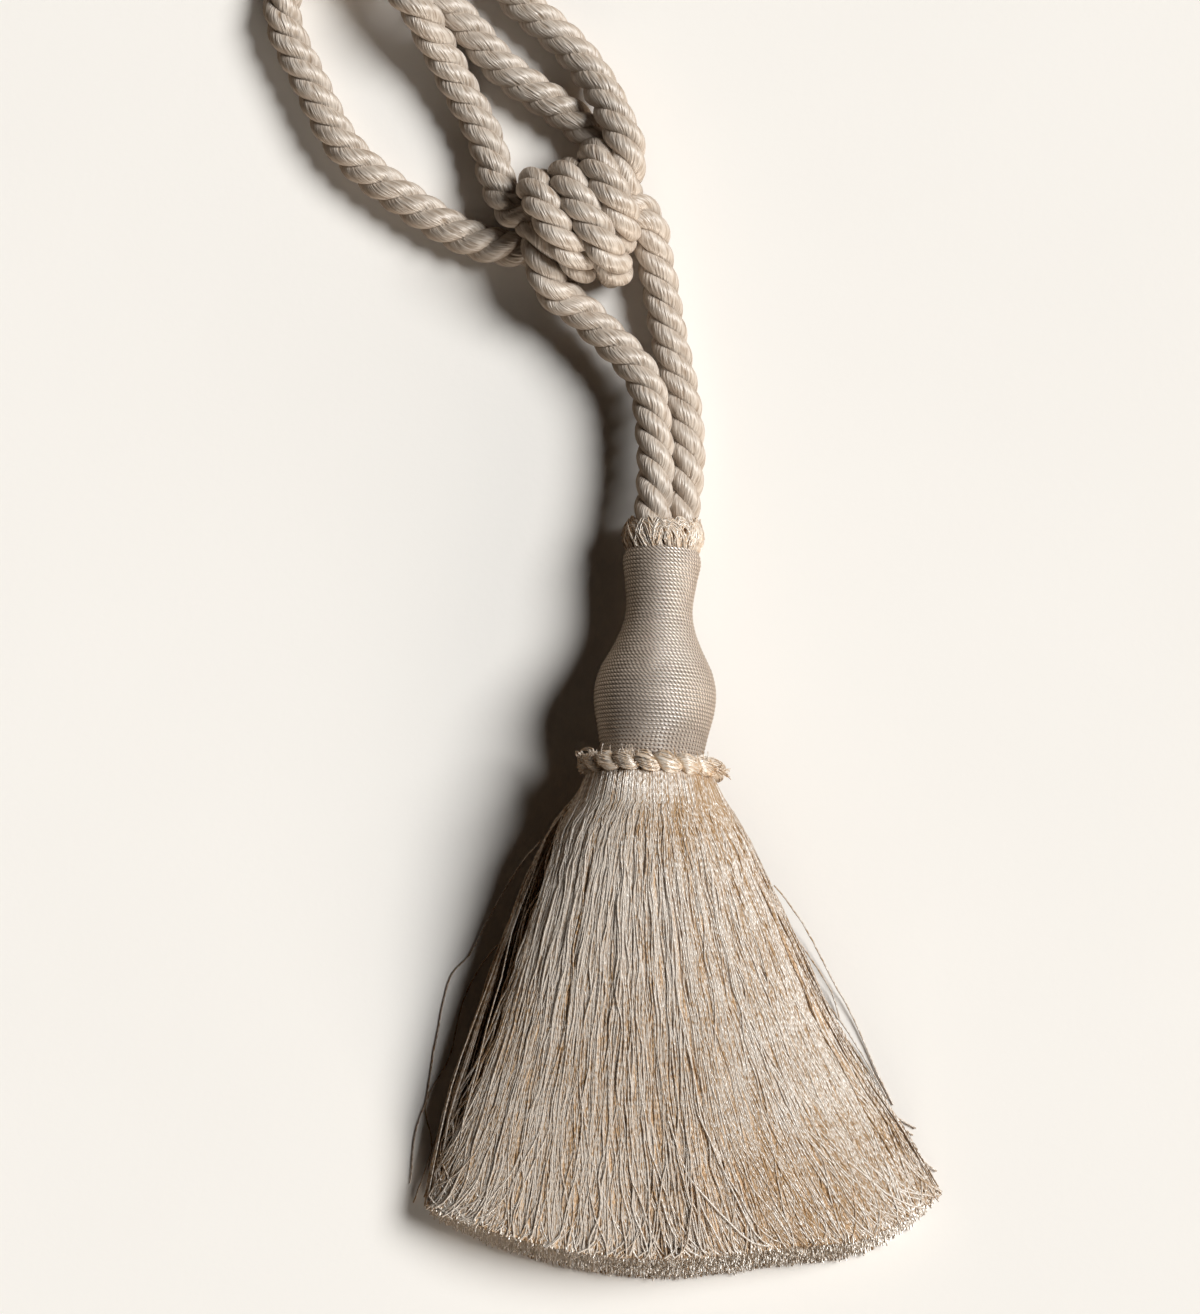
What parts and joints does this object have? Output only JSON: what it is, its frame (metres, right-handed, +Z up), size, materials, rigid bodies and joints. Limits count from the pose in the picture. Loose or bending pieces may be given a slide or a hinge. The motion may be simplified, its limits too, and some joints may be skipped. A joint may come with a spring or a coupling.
{
  "type": "drapery tassel",
  "caption": "Silky beige drapery tassel with a cord-wound head, a full skirt of cut yarn and a knotted, looped rope, lying flat.",
  "frame": {"origin": "on the surface that the tassel lies on, at the middle of the box of the head, ruff, ring and skirt, without the cord", "axes": "+Y along the tassel from its cut ends towards the cord, +X across it, +Z up from the surface"},
  "size_m": [0.2012, 0.4112, 0.0433],
  "materials": {
    "wound_cord": "satin",
    "floss": "satin",
    "yarn": "satin",
    "rope": "satin"
  },
  "bodies": {
    "root": {"tassel_head": "wound_cord", "tassel_ruff": "floss", "skirt_ring": "floss", "tassel_skirt": "yarn", "cord_right_loop": "rope", "cord_knot": "rope", "cord_left_loop": "rope"}
  },
  "joints": []
}
